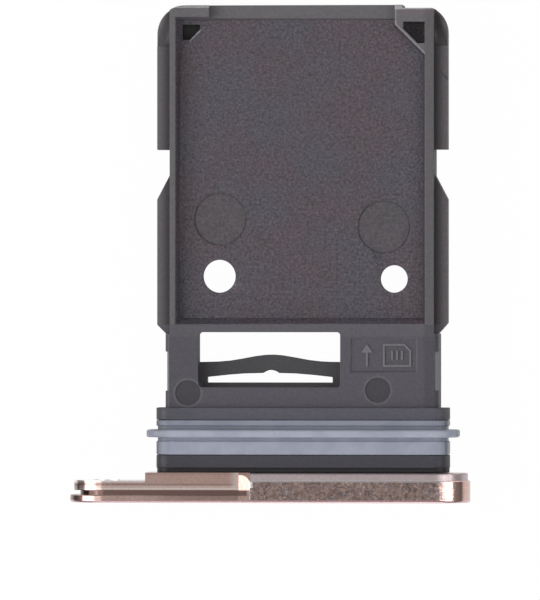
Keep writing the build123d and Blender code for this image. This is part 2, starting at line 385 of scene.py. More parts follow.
def edge_highlights(x, y, z):
    """1 along the edges that get a painted highlight: the key's wall, the gap and the core's
    corner.
    """
    key = band(x + y, KEY_LINE - SOFT, KEY_LINE + 0.07, 0.015) * band(x, GAP_RIGHT, CORE_SIDE, SOFT)
    gap = band(x, GAP_RIGHT, GAP_RIGHT + 0.06, HAIR) * rise(y, KEY_CORNER, KEY_CORNER + 0.05)
    core = band(x - y, CORE_CUT_LINE, CORE_CUT_LINE + 0.08, 0.015) * band(x, *CORE_CUT, SOFT)
    core = core * rise(z, WEB_FACE - 0.04, WEB_FACE - SOFT)
    core = core * rise(y, CORE_CUT_START, CORE_CUT_START + 0.05)
    return rise(z, TOP_FACE - 0.04, TOP_FACE - SOFT) * (key + gap) + core


def bright_tail(x, y, z):
    """1 on the bevels of the two blocks at the tail, which catch the light."""
    left_end = GAP_LEFT + LEFT_BLOCK
    left = rise(y, TAIL_END - 0.11, TAIL_END - 0.08) * fall(x, left_end, left_end + 0.1)
    right = rise(y, RIGHT_TAIL - 0.06, RIGHT_TAIL - 0.04) * rise(x, GAP_RIGHT - 0.1, GAP_RIGHT)
    return (left + right) * rise(z, TOP_FACE - 0.10, TOP_FACE - 0.08)


def crease_shade(x, y, z):
    """1 where a painted shade lies at the foot of the side walls and of the key."""
    walls = [band(x, at - 0.05, at + 0.03, SOFT) for at in CREASES]
    walls = (walls[0] + walls[1]) * band(y, RELIEF_START, CREASE_END, SOFT)
    key = band(x + y, KEY_LINE - 0.15, KEY_LINE - 0.04, SOFT)
    key = key * rise(x, GAP_RIGHT - 0.1, GAP_RIGHT - 0.005)
    return (walls + key) * fall(z, TOP_FACE - 0.10, TOP_FACE - 0.05)


# %% [markdown]
# ## Details of the frame
# The key's corner gets a painted rosy reflection, and one small round place in the relief gets a
# painted glint in the same tone. Of the two core pits at the tail, the left one is painted nearly
# black as shade, while the right one is painted grey as the light that falls into it and shows
# its side. The bow spring is thin and gets little light, so it is painted darker as shade.

# %% Second coats: details of the frame
CORE_START = 16.50
CORE_DEPTH = 0.32
WINDOW = (-3.80, 1.35)
BOW_REACH = (4.23, 6.10)
GLINT_PLACE = (-2.47, 7.88)
GLINT_RADIUS = 0.18
# painted light and shade: a rosy reflection and glint, shade and light in the pits, shade on the
# bow spring and in the creases, highlights on the edges
ROSY_REFLECTION = (0.150, 0.108, 0.128)
LEFT_PIT_SHADE = (0.012, 0.010, 0.011)
RIGHT_PIT_LIGHT = (0.260, 0.247, 0.260)
BOW_TONE = (0.052, 0.049, 0.056)
EDGE_HIGHLIGHT = (0.230, 0.215, 0.230)
BRIGHT_EDGE = (0.420, 0.400, 0.420)
CREASE_SHADE = (0.040, 0.033, 0.038)


def with_details(tone, x, y, z):
    """Add the painted rosy reflection and glint, the pits and the bow spring in painted shade and
    light, the edge highlights and the crease shade.
    """
    rosy = rise(x, GAP_RIGHT, GAP_RIGHT + 0.3) * rise(y, TAIL_FACE + 0.05, TAIL_FACE + 0.30)
    core = rise(y, CORE_START, CORE_START + SOFT) * fall(absolute(x), CORE_SIDE, CORE_SIDE + HAIR)
    core = core * fall(z, WEB_FACE - CORE_DEPTH, WEB_FACE - SOFT)
    return painted(tone, [
        (0.7, rosy, ROSY_REFLECTION),
        (1, core, mixed(rise(x, 0, 1), LEFT_PIT_SHADE, RIGHT_PIT_LIGHT)),
        (0.5, disc(x, y, GLINT_PLACE, GLINT_RADIUS, 0.10), ROSY_REFLECTION),
        (1, band(x, *WINDOW, HAIR) * band(y, *BOW_REACH, HAIR), BOW_TONE),
        (0.8, edge_highlights(x, y, z), EDGE_HIGHLIGHT),
        (0.8, bright_tail(x, y, z), BRIGHT_EDGE),
        (0.7, crease_shade(x, y, z), CREASE_SHADE)])


# %% [markdown]
# ## Sides that turn away
# The lamps here are simpler than the real ones, so some faces come out too bright. Both sides
# of the body are toned down a little, and so are the neck's left corner and its side edges.

# %% Third coats: sides that turn away
RIGHT_SIDE = (4.40, 4.55)
LEFT_SIDE = (-4.0, -3.6)
RIGHT_SHADE = 0.80
LEFT_SHADE = 0.91
NECK_TURN_SHADE = 0.64
SHADE_TONE = (0.022, 0.018, 0.020)


def neck_turn(x):
    """1 where the neck and the seal round it turn down to the left."""
    return fall(x, -NECK_HALF + 0.15, -NECK_HALF + 0.65)


def with_shade(tone, x, y):
    """Darken both sides of the body, and the neck's left corner and side edges."""
    neck = fall(y, NECK_END, NECK_END + HAIR)
    side = rise(absolute(x), NECK_HALF - 0.08, NECK_HALF - 0.03)
    tone = shaded(tone, [
        (rise(x, *RIGHT_SIDE) * rise(y, NECK_END, NECK_END + HAIR), RIGHT_SHADE),
        (fall(x, *LEFT_SIDE), LEFT_SHADE),
        (neck_turn(x) * neck, NECK_TURN_SHADE)])
    return mixed(0.7 * side * neck, tone, SHADE_TONE)


# %% [markdown]
# ## Round marks and the sign
# Ejector pins press the tray out of its mould and leave round marks: two large ones in the
# relief and two small ones beside the window. The sign's raised top is a little paler, and the
# neck in the undercut behind the head is painted in shade.

# %% Round marks and the sign
UNDERCUT_END = 1.27
FIELD_CENTRE = (3.00, 5.37)
FIELD_HALF = (1.14, 0.55)
FIELD_FLOOR = 0.69
SIGN_TOP = 0.735
LARGE_MARKS = [(-3.00, 10.34), (2.98, 10.05)]
SMALL_MARKS = [(-4.16, 4.00), (2.78, 4.10)]
LARGE_MARK_RADIUS = 0.96
SMALL_MARK_RADIUS = 0.46
MARK_RIM = 0.06
SIGN_TONE = (0.150, 0.142, 0.155)
MARK_TONE = (0.075, 0.068, 0.075)
RIM_TONE = (0.135, 0.128, 0.140)
PIN_TONE = (0.039, 0.036, 0.043)
print(f"{len(LARGE_MARKS) + len(SMALL_MARKS)} round marks")


def marks_mask(x, y, places, radius, edge=0.03):
    """1 inside either of two equal round marks."""
    masks = [disc(x, y, place, radius, edge) for place in places]
    return masks[0] + masks[1]


def sign_mask(x, y, z):
    """1 on the raised sign in the sunk field."""
    masks = [band(value, centre - half, centre + half, HAIR)
             for value, centre, half in zip((x, y), FIELD_CENTRE, FIELD_HALF)]
    return masks[0] * masks[1] * band(z, FIELD_FLOOR + 0.015, SIGN_TOP + 0.005, 0.005)


def with_marks(tone, x, y, z, large):
    """Add the sign, a painted shade on the neck in the undercut behind the head, and the ejector
    marks with their rims.
    """
    pins = marks_mask(x, y, SMALL_MARKS, SMALL_MARK_RADIUS)
    around = marks_mask(x, y, SMALL_MARKS, SMALL_MARK_RADIUS + MARK_RIM, MARK_RIM) - pins
    # painted shade: the neck in the undercut behind the head is dark
    return painted(tone, [
        (1, sign_mask(x, y, z), SIGN_TONE),
        (1, fall(y, UNDERCUT_END - HAIR, UNDERCUT_END), SHADE_TONE),
        (0.6, large, MARK_TONE),
        (0.8, around, RIM_TONE),
        (0.9, pins, PIN_TONE)])


# %% [markdown]
# ## The plastic as one material
# The grain comes last. Its specks change colour, gloss and height together, as they do on a
# real spark-eroded face, and they are strong in the relief and faint everywhere else.

# %% Frame plastic
RELIEF_LEFT = -4.63
RELIEF_RIGHT = 4.50
GRIP = (4.08, 5.50)
GRIP_HALF = 4.87
COARSE_PER_MM = 11
FINE_PER_MM = 26
CLOUDS_PER_MM = 0.45
GRAIN_HEIGHT = 0.03
SMOOTH_SPECKS = 0.7
RELIEF_SPECKS = 2.2
NYLON_ROUGHNESS = 0.66
RELIEF_ROUGHER = 0.10
TOP_SMOOTHER = 0.18
GLINT_SMOOTHER = 0.20
GRIP_SMOOTHER = 0.16


def relief_mask(x, y, z):
    """1 on the relief's floor and inner walls."""
    inside = band(x, RELIEF_LEFT, RELIEF_RIGHT, 0.03) * rise(y, RELIEF_START, RELIEF_START + 0.05)
    return (1 - on_top(z)) * inside * fall(y, TAIL_FACE - 0.05, TAIL_FACE)


def frame_plastic():
    """Dark grey nylon with a spark-eroded relief and smoother walls, bar and neck."""
    material, place = start_finish("frame_plastic")
    x, y, z = place.axes()
    x = x - BODY_CENTRE
    coarse = grain(place, COARSE_PER_MM, 3, 0.65)
    fine = grain(place, FINE_PER_MM, 2, 0.5)
    large = marks_mask(x, y, LARGE_MARKS, LARGE_MARK_RADIUS)
    tone = zone_tone(x, y, z, grain(place, CLOUDS_PER_MM, 2, 0.5))
    tone = with_shade(with_details(tone, x, y, z), x, y)
    tone = with_marks(tone, x, y, z, large)
    rough_zone = relief_mask(x, y, z) * (1 - 0.5 * large)
    specks = 1 + (SMOOTH_SPECKS + RELIEF_SPECKS * rough_zone) * (coarse - 0.5)
    glints = rise(coarse, 0.60, 0.72) * rough_zone
    upward = rise(place.node("ShaderNodeNewGeometry", out="Normal").axes()[2], 0.1, 0.4)
    grip = band(y, *GRIP, SOFT) * rise(absolute(x), GRIP_HALF, GRIP_HALF + HAIR) * rise(z, 0, SOFT)
    roughness = NYLON_ROUGHNESS - TOP_SMOOTHER * upward + RELIEF_ROUGHER * rough_zone
    roughness = roughness - GLINT_SMOOTHER * glints + 0.1 * (fine - 0.5) - GRIP_SMOOTHER * grip
    height = coarse * (0.25 + 0.75 * rough_zone) + 0.2 * fine
    shader = place.node("ShaderNodeBsdfPrincipled", inputs={
        "Base Color": tone * specks, "Roughness": roughness,
        "Normal": bumped(height, GRAIN_HEIGHT)})
    return close_finish(material, shader)


# %% [markdown]
# ## Silicone
# The seal is blue-grey silicone, soft and slightly waxy. It is even in colour, so its form
# shows by its own highlights, and only a faint mottle and a few specks of dust break it. The
# band behind the lip, the feet and the sides lie in shade.

# %% Seal silicone
SILICONE = (0.37, 0.39, 0.475)
SILICONE_DEEP = (0.32, 0.345, 0.43)
DUST = (0.55, 0.55, 0.57)
LIP_START = 2.38
LIP_WIDTH = 0.28
FOOT_WIDTH = 0.14
LIP_TIP = 5.60
REAR_SHADE = 0.73
FOOT_SHADE = 0.80
FRONT_SHADE = 0.94
SIDE_SHADE = 0.45
TURN_SHADE = 0.68
MOTTLE_PER_MM = 1.3
DUST_PER_MM = 11
PORES_PER_MM = 16
PORE_DEPTH = 0.006
SATIN = 0.42


def seal_silicone():
    """Satin blue-grey rubber."""
    material, place = start_finish("seal_silicone")
    x, y = place.axes()[:2]
    x = x - BODY_CENTRE
    aside = absolute(x)
    mottle = grain(place, MOTTLE_PER_MM, 3, 0.5)
    specks = rise(grain(place, DUST_PER_MM, 1, 0.5), 0.72, 0.76)
    base = mixed(rise(mottle, 0.35, 0.65), SILICONE_DEEP, SILICONE)
    base = mixed(0.5 * specks, base, DUST)
    lip_end = LIP_START + LIP_WIDTH
    off_lip = 1 - band(y, LIP_START, lip_end, HAIR)
    sides = band(aside, NECK_HALF - 0.10, NECK_HALF + SOFT, 0.03)
    base = shaded(base, [
        (rise(y, lip_end - SOFT, lip_end + SOFT), REAR_SHADE),
        (band(y, LIP_START - FOOT_WIDTH, lip_end + FOOT_WIDTH, HAIR) * off_lip, FOOT_SHADE),
        (fall(y, LIP_START - FOOT_WIDTH, LIP_START), FRONT_SHADE),
        (sides * off_lip + rise(aside, LIP_TIP, LIP_TIP + 0.08), SIDE_SHADE),
        (neck_turn(x), TURN_SHADE)])
    shader = place.node("ShaderNodeBsdfPrincipled", inputs={
        "Base Color": base, "Roughness": SATIN + 0.12 * (mottle - 0.5),
        "Normal": bumped(grain(place, PORES_PER_MM, 2, 0.5), PORE_DEPTH)})
    return close_finish(material, shader)


# %% [markdown]
# ## Anodised metal
# The head is aluminium, blasted with fine beads and anodised rose gold. The blasting leaves
# tiny dents that sparkle, and the milled steps behind the outer face are a little greyer. On
# the left the head is relieved: a slit lies behind the front plate, a pad behind the slit, and
# a rounded ramp leads up to the full block. Distances from the outer face tell them apart.

# %% Places on the head
FACE_FILM = (0.002, 0.006)
FACE_ROUND = 0.09
FRONT_PLATE = 0.285
SLIT_BACK = 0.45
BEVEL_START = 0.76
HEAD_BLOCK = 0.81
RAMP_BACK = 1.01
STEP_END = 1.08
PILL_HALF = 5.975
RELIEF_LEVEL = 1.21
SLIT_LEVEL = 0.90
PAD_START = -4.46
RAMP_LEAD = -1.45
RAMP_START = -1.04
RELIEF_END = -0.62
BLOCK_END = 6.30
print(f"full block: {BLOCK_END - RELIEF_END:.2f} mm long")


def on_left(x):
    """1 on the relieved left part of the head."""
    return fall(x, RAMP_START - SOFT, RAMP_START)


def on_right(x):
    """1 from the top of the ramp on."""
    return rise(x, RELIEF_END - SOFT, RELIEF_END + SOFT)


def on_block(x):
    """1 on the full block, short of its round end."""
    return on_right(x) * fall(x, BLOCK_END, BLOCK_END + 0.3)


def from_core(x, z):
    """Distance from the line between the centres of the head's round ends."""
    inputs = {0: absolute(x) - PILL_HALF, 1: 0.0}
    beyond = x.node("ShaderNodeMath", {"operation": "MAXIMUM"}, inputs)
    return (beyond * beyond + z * z) ** 0.5


# %% [markdown]
# ## Metal and blasting
# Behind the slit the pad gets two painted highlights, one inside the other, and a thin line of
# painted shade follows them; the lead up to the ramp gets the same highlight. The step's rear
# edge beside the neck is painted in shade. The flat of the full block is the greyest part, has
# the strongest grain, and is darkened as a painted shade. Its narrow rear bevel gets a painted
# highlight.

# %% First coats: metal and blasting
HIGHLIGHT_ENDS = (0.62, 0.54)
SHADE_LINE = (0.63, 0.70)
ROSE = (0.58, 0.395, 0.345)
ROSE_PALE = (0.70, 0.54, 0.49)
BARE = (0.50, 0.42, 0.43)
RIM_HIGHLIGHT = (0.92, 0.85, 0.83)
CREAM_HIGHLIGHT = (0.90, 0.76, 0.71)
GREYISH = (0.50, 0.42, 0.44)
SLIT_SHADE = (0.24, 0.15, 0.13)
BLOCK_SHADE = 0.57


def head_zones(x, y, clouds, behind):
    """Rose metal, barer behind the block, with painted shade at the step's rear edge and on the
    pad's line, and painted highlights on the bevel, the pad and the ramp's lead.
    """
    rose = mixed(0.25 * rise(clouds, 0.35, 0.65), ROSE, ROSE_PALE)
    bevel = on_block(x) * band(y, BEVEL_START, HEAD_BLOCK + HAIR, HAIR)
    wide, narrow = [band(y, SLIT_BACK + SOFT, end, HAIR) for end in HIGHLIGHT_ENDS]
    lead = rise(x, RAMP_LEAD, RAMP_START) * rise(y, SLIT_BACK, SLIT_BACK + HAIR)
    # painted shade at the step's rear edge and in the pad's line, painted highlights on the bevel,
    # the pad and the ramp's lead
    return painted(rose, [
        (1, behind * on_right(x), BARE),
        (0.25, rise(y, STEP_END - 0.09, STEP_END - 0.05), SLIT_SHADE),
        (0.9, bevel, RIM_HIGHLIGHT),
        (1, on_left(x) * (0.4 * wide + 0.55 * narrow), CREAM_HIGHLIGHT),
        (0.4, on_left(x) * band(y, *SHADE_LINE, HAIR), SLIT_SHADE),
        (0.8, on_left(x) * lead, CREAM_HIGHLIGHT)])


def with_blasting(tone, flecks, patches, behind, block):
    """Add grey patches and pale sparkle. The block has the strongest grain and is darkened as a
    painted shade.
    """
    tone = painted(tone, [
        (0.8, block * rise(patches, 0.45, 0.60), GREYISH),
        (0.6, rise(flecks, 0.60, 0.74) * (1 - behind), ROSE_PALE)])
    return shaded(tone * (1 + (0.5 + 2.5 * block) * (flecks - 0.5)), [(block, BLOCK_SHADE)])


# %% [markdown]
# ## Face, slit and painted light on the head's edges
# The slit is narrow and deep, so its inside and its floor are painted brown as shade. Its floor is
# found by the distance from the line between the two round ends, because the floor follows the
# pill's outline. The round beside the outer face gets a painted mauve reflection. The ramp's top
# edge and the rear rim of the left end get painted highlights, and the ramp, the slit's brink and
# the front plate get painted shade. The tips of the layers on the far left are darkened as a
# painted reflection of the dark horizon, and the right end is lightened as a painted reflection.

# %% Second coats: face, slit and edges
MAUVE_REFLECTION = (0.68, 0.47, 0.50)
FACE_TONE = (0.60, 0.42, 0.36)
FACE_PALE = (0.68, 0.49, 0.42)
SLIT_FLOOR_SHADE = (0.22, 0.135, 0.12)
RAMP_TOP_HIGHLIGHT = (0.98, 0.93, 0.90)
RAMP_SHADE = 0.80
TIP_SHADE = 0.38
TIP_BACK = 0.68
TIPS = [(-7.06, -6.84, FACE_ROUND, FRONT_PLATE), (-6.40, -6.20, FRONT_PLATE, SLIT_BACK),
        (-6.94, -6.88, SLIT_BACK, TIP_BACK)]
END_REFLECTION_BAND = (6.66, 6.98)
END_REFLECTION_GAIN = 1.32
PLATE_FADE = (-5.2, -2.5)
PLATE_SHADE = 0.72
BRINK = 0.03


def with_front(tone, x, y, z, flecks):
    """Add the slit and its floor in painted shade, a painted mauve reflection on the round beside
    the outer face, and the face itself.
    """
    slit = on_left(x) * band(y, FRONT_PLATE + SOFT, SLIT_BACK + SOFT, HAIR)
    face = mixed(rise(flecks, 0.35, 0.65), FACE_TONE, FACE_PALE)
    out = from_core(x, z)
    floor = fall(out, RELIEF_LEVEL - 0.03, RELIEF_LEVEL - HAIR)
    floor = floor * rise(out, SLIT_LEVEL, SLIT_LEVEL + SOFT) * (1 - on_right(x))
    floor = floor * band(y, FRONT_PLATE, SLIT_BACK, HAIR / 2)
    return painted(tone, [
        (0.85, slit, SLIT_SHADE),
        (0.8, fall(y, FACE_ROUND, FACE_ROUND + SOFT), MAUVE_REFLECTION),
        (1, fall(y, *FACE_FILM), face),
        (0.85, floor, SLIT_FLOOR_SHADE)])


def with_edge_light(tone, x, y, z):
    """Add painted highlights on the rims and the ramp's top, painted shade on the ramp, the front
    plate and the slit's brink, and painted reflections: dark on the left tips, light on the right
    end.
    """
    rim = fall(x, PAD_START - SOFT, PAD_START) * rise(y, HEAD_BLOCK - 0.08, HEAD_BLOCK - 0.06)
    on_ramp = band(x, RAMP_START, RELIEF_END, HAIR)
    ramp = on_ramp * band(y, SLIT_BACK, RAMP_BACK, HAIR)
    ramp = ramp * rise(z, RELIEF_LEVEL, RELIEF_LEVEL + HAIR)
    ramp_top = band(x, RELIEF_END - 0.03, RELIEF_END + 0.10, SOFT)
    ramp_top = ramp_top * band(y, SLIT_BACK + 0.1, HEAD_BLOCK, SOFT)
    tips = [(fall(x, from_x, to_x) * band(y, from_y, to_y, HAIR), TIP_SHADE)
            for from_x, to_x, from_y, to_y in TIPS]
    right_end = band(x, *END_REFLECTION_BAND, 0.04) * rise(y, FACE_ROUND - SOFT, FACE_ROUND)
    plate = on_left(x) * rise(x, *PLATE_FADE) * band(y, FACE_ROUND, FRONT_PLATE, SOFT)
    brink = on_ramp * band(y, SLIT_BACK, SLIT_BACK + BRINK, HAIR)
    # painted highlights on the rims and the ramp's top, painted shade on the ramp, the plate and
    # the brink, and painted reflections on the tips and the right end
    tone = shaded(mixed(0.9 * rim, tone, RIM_HIGHLIGHT), [(ramp, RAMP_SHADE)])
    tone = shaded(mixed(ramp_top, tone, RAMP_TOP_HIGHLIGHT), [*tips, (right_end, END_REFLECTION_GAIN), (plate, PLATE_SHADE)])
    return mixed(0.9 * brink, tone, SLIT_SHADE)


# %% [markdown]
# ## The metal as one material
# Metal has no colour under its shine: it tints what it mirrors. So the coats give the tint, and
# the roughness decides how far the lamps smear. The dents are strongest on the block.

# %% Head metal
DENTS_PER_MM = 13
FLECKS_PER_MM = 10
PATCHES_PER_MM = 5.5
TINT_CLOUDS_PER_MM = 0.6
DENT_DEPTH = 0.012
METAL_ROUGHNESS = 0.17
STEP_ROUGHER = 0.22


def head_metal():
    """Rose-gold anodised aluminium, bead blasted, with a barer step behind the full block."""
    material, place = start_finish("head_metal")
    x, y, z = place.axes()
    dents = grain(place, DENTS_PER_MM, 2, 0.6)
    flecks = grain(place, FLECKS_PER_MM, 3, 0.65)
    clouds = grain(place, TINT_CLOUDS_PER_MM, 2, 0.5)
    patches = grain(place, PATCHES_PER_MM, 3, 0.7)
    behind = rise(y, HEAD_BLOCK - SOFT, HEAD_BLOCK + HAIR)
    block = on_block(x) * band(y, FACE_ROUND - HAIR, BEVEL_START, HAIR)
    tone = head_zones(x, y, clouds, behind)
    tone = with_blasting(tone, flecks, patches, behind, block)
    tone = with_edge_light(with_front(tone, x, y, z, flecks), x, y, z)
    roughness = METAL_ROUGHNESS + STEP_ROUGHER * behind * on_right(x)
    roughness = roughness + (0.04 + 0.12 * block) * (dents - 0.5)
    shader = place.node("ShaderNodeBsdfPrincipled", inputs={
        "Base Color": tone, "Metallic": 1.0, "Roughness": roughness,
        "Normal": bumped(dents * (0.3 + 0.7 * block) * (1 - behind), DENT_DEPTH)})
    return close_finish(material, shader)


# %% [markdown]
# ## Softer edges
# No moulded or milled edge is razor sharp, and the thin light line along an edge is what makes
# a small part look real. The frame has crisp edges, so it gets a copy with rounded ones. The
# head is bevelled already, and is only shaded so that each narrow bevel turns into a round.
# Rounding works badly at a few hundredths of a millimetre in metres, so the copy is made in
# millimetres and brought back. An edge is rounded only where both its faces leave room, and
# the corners without a round stay crisp, as do the two folds at the ends of the head's ramp.

# %% Copies with rounded edges
WELD = 0.0001
FLAT = math.radians(0.8)
SHARP = math.radians(35)
BEVEL_SHARP = math.radians(30)
FLAT_FACE_WEIGHT = 90
ROOM = 2.2
FRAME_ROUND = 0.022
FOLD_NEAR = 0.01


def room_beside(face, edge):
    """How far the face reaches from the middle of one of its edges, straight into it."""
    middle = (edge.verts[0].co + edge.verts[1].co) / 2
    along = (edge.verts[1].co - edge.verts[0].co).normalized()
    inward = face.normal.cross(along)
    loop = next(loop for loop in face.loops if loop.edge == edge)
    if (loop.link_loop_next.vert.co - loop.vert.co).dot(along) < 0:
        inward.negate()
    nearest = math.inf
    for other in face.edges:
        if other == edge:
            continue
        start = other.verts[0].co - middle
        end = other.verts[1].co - middle
        a = start.dot(along)
        b = end.dot(along)
        if a * b > 0 or abs(a - b) < WELD:
            continue
        reach = start.dot(inward) + (end - start).dot(inward) * a / (a - b)
        if reach > WELD:
            nearest = min(nearest, reach)
    return nearest


def keep_crisp(mesh, sharp, rounds, folds):
    """Mark the edges that no shading may smooth: all corners but the new rounds, and folds."""
    count = 0
    for edge in mesh.edges:
        corner = edge.is_manifold and edge.calc_face_angle() > sharp
        corner = corner and not rounds.issuperset(edge.link_faces)
        fold = any(all(abs(vert.co.x - x) < FOLD_NEAR for vert in edge.verts) for x in folds)
        edge.smooth = not (corner or fold)
        count += corner or fold
    return count


def round_edges(mesh, width, sharp):
    """Bevel the outer edges with room beside them, and give their number and the new faces."""
    edges = [edge for edge in mesh.edges
             if width and edge.is_manifold and edge.is_convex and edge.calc_face_angle() > sharp
             and min(room_beside(face, edge) for face in edge.link_faces) > ROOM * width]
    if not edges:
        return 0, set()
    made = bmesh.ops.bevel(mesh, geom=edges, offset=width, offset_type="OFFSET", segments=2,
                           profile=0.5, affect="EDGES", clamp_overlap=False)
    return len(edges), set(made["faces"])


def softened(node_name, piece_name, width, sharp, folds=()):
    """Copy of a solid with rounded outer edges, which stands for it in the picture."""
    mesh = bmesh.new()
    mesh.from_mesh(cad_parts[node_name].data)
    bmesh.ops.scale(mesh, vec=(1 / MM,) * 3, verts=mesh.verts)
    bmesh.ops.remove_doubles(mesh, verts=mesh.verts, dist=WELD)
    bmesh.ops.dissolve_limit(mesh, angle_limit=FLAT, verts=mesh.verts, edges=mesh.edges)
    mesh.normal_update()
    rounded_edges, rounds = round_edges(mesh, width, sharp)
    mesh.normal_update()
    crisp = keep_crisp(mesh, sharp, rounds, folds)
    for face in mesh.faces:
        face.smooth = True
    bmesh.ops.scale(mesh, vec=(MM,) * 3, verts=mesh.verts)
    data = bpy.data.meshes.new(piece_name)
    mesh.to_mesh(data)
    mesh.free()
    piece = bpy.data.objects.new(piece_name, data)
    scene.collection.objects.link(piece)
    flat_faces = piece.modifiers.new("flat_faces", "WEIGHTED_NORMAL")
    flat_faces.weight = FLAT_FACE_WEIGHT
    flat_faces.keep_sharp = True
    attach(piece, "root")
    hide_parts(node_name)
    print(f"{piece_name}: {rounded_edges} edges rounded, {crisp} crisp, "
          f"{len(data.polygons)} faces")
    return piece


frame_moulding = softened("tray_frame", "frame_moulding", FRAME_ROUND, SHARP)
frame_moulding.data.materials.append(frame_plastic())
head_shell = softened("head", "head_shell", 0, BEVEL_SHARP, (RAMP_START, RELIEF_END))
head_shell.data.materials.append(head_metal())

# %% [markdown]
# ## The seal as one swept band
# The real seal is one moulded ring: a flat band in the neck's groove with a round lip on it.
# It is made as a profile with rounded corners that runs round the neck, because every ring of
# such a sweep can have its own offset from the neck, and the corners then widen as they should.

# %% Sweep the seal round the neck
NECK_CORNER = 0.50
SEAL_INNER = -0.30
LIP_ROUND = 0.08
LIP_FOOT_ROUND = 0.025
FOOT_DEPTH = -0.05
FOOT_ROUND = 0.015
BAND_ROUND = 0.05
STEP_ROUND = 0.03
INNER_ROUND = 0.02
CORNER_STEPS = 12
ROUND_STEPS = 5


def rounded(points):
    """Closed outline whose corners, given as (along, out, radius), become arcs."""
    made = []
    for i, (along, out, radius) in enumerate(points):
        corner = Vector((along, out))
        before = (Vector(points[i - 1][:2]) - corner).normalized()
        after = (Vector(points[(i + 1) % len(points)][:2]) - corner).normalized()
        half = before.angle(after) / 2
        start = corner + before * radius / math.tan(half)
        end = corner + after * radius / math.tan(half)
        centre = corner + (before + after).normalized() * radius / math.sin(half)
        for step in range(ROUND_STEPS + 1):
            blend = start.lerp(end, step / ROUND_STEPS) - centre
            made.append(centre + blend.normalized() * radius)
    return made


def seal_profile():
    """Profile of the band and its lip, as distance along the neck and out from its surface."""
    low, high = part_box("seal_ring")
    near = low.y / MM
    far = high.y / MM
    crest = (high.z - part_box("tray_frame")[1].z) / MM
    lip_end = LIP_START + LIP_WIDTH
    foot_start = LIP_START - FOOT_WIDTH
    foot_end = lip_end + FOOT_WIDTH
    return rounded([
        (near, SEAL_INNER, INNER_ROUND), (near, 0, BAND_ROUND),
        (foot_start, 0, STEP_ROUND), (foot_start, FOOT_DEPTH, FOOT_ROUND),
        (LIP_START, FOOT_DEPTH, LIP_FOOT_ROUND), (LIP_START, crest, LIP_ROUND),
        (lip_end, crest, LIP_ROUND), (lip_end, FOOT_DEPTH, LIP_FOOT_ROUND),
        (foot_end, FOOT_DEPTH, FOOT_ROUND), (foot_end, 0, STEP_ROUND),
        (far, 0, BAND_ROUND), (far, SEAL_INNER, INNER_ROUND)])


def ring_round_neck(along, out):
    """Points round the neck at one distance out from its surface."""
    low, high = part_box("tray_frame")
    half_height = high.z / MM
    half_width = (high.x - low.x) / 2 / MM
    points = []
    for quarter in range(4):
        side = Vector(((1, 1), (-1, 1), (-1, -1), (1, -1))[quarter])
        centre = Vector((side.x * (half_width - NECK_CORNER), side.y * (half_height - NECK_CORNER)))
        for step in range(CORNER_STEPS + 1):
            turn = math.radians(90) * (quarter + step / CORNER_STEPS)
            x = centre.x + (NECK_CORNER + out) * math.cos(turn)
            z = centre.y + (NECK_CORNER + out) * math.sin(turn)
            points.append(Vector((BODY_CENTRE + x, along, z)) * MM)
    return points


def sweep_seal():
    """One closed skin through all the rings."""
    rings = [ring_round_neck(along, out) for along, out in seal_profile()]
    count = len(rings[0])
    faces = []
    for i in range(len(rings)):
        following = (i + 1) % len(rings)
        for j in range(count):
            beside = (j + 1) % count
            faces.append((i * count + j, i * count + beside,
                          following * count + beside, following * count + j))
    data = bpy.data.meshes.new("seal_band")
    data.from_pydata([point for ring in rings for point in ring], [], faces)
    data.shade_smooth()
    data.set_sharp_from_angle(angle=SHARP)
    piece = bpy.data.objects.new("seal_band", data)
    scene.collection.objects.link(piece)
    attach(piece, "root")
    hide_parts("seal_ring")
    print(f"seal_band: {len(rings)} rings of {count} points")
    return piece


seal_band = sweep_seal()
seal_band.data.materials.append(seal_silicone())

# %% [markdown]
# ## A sign in the sunk field
# The sunk field beside the window carries a small raised sign, a few hundredths proud. It is a
# plain one: the outline of a card with its cut corner, contacts, and an arrow to the tail.

# %% Raised sign
SIGN_LINE = 0.075
SIGN_SINK = 0.01
CARD_HALF = (0.52, 0.42)
CARD_CUT = 0.24
CARD_PLACE = 0.48
CONTACT_PITCH = 2.4 * SIGN_LINE
CONTACT_HALF = 0.17
ARROW_PLACE = -0.62
ARROW_HALF = 0.40
ARROW_HEAD_HALF = 0.22
ARROW_HEAD_START = 0.1


def card_outline(inset):
    """Corners of a card with one cut corner, drawn in by an inset."""
    wide = CARD_HALF[0] - inset
    long = CARD_HALF[1] - inset
    cut = CARD_CUT - 0.6 * inset
    return [(CARD_PLACE - wide, -long), (CARD_PLACE + wide, -long), (CARD_PLACE + wide, long - cut),
            (CARD_PLACE + wide - cut, long), (CARD_PLACE - wide, long)]


def stroke(middle, start, end):
    """Corners of a straight stroke of the sign's line width."""
    half = SIGN_LINE / 2
    return [(middle - half, start), (middle + half, start), (middle + half, end),
            (middle - half, end)]


def raised_ring(mesh, outer, inner):
    """Raised strip between two outlines with the same number of corners."""
    add_walls(mesh, [outer, inner[::-1]], closed_top=False)
    high = [[at_field(mesh, point, SIGN_TOP) for point in line] for line in (outer, inner)]
    for i in range(len(outer)):
        j = (i + 1) % len(outer)
        mesh.faces.new((high[0][i], high[0][j], high[1][j], high[1][i]))


def at_field(mesh, point, height):
    """Corner of the sign, measured from the field's centre."""
    x = BODY_CENTRE + FIELD_CENTRE[0] + point[0]
    return mesh.verts.new(Vector((x, FIELD_CENTRE[1] + point[1], height)) * MM)


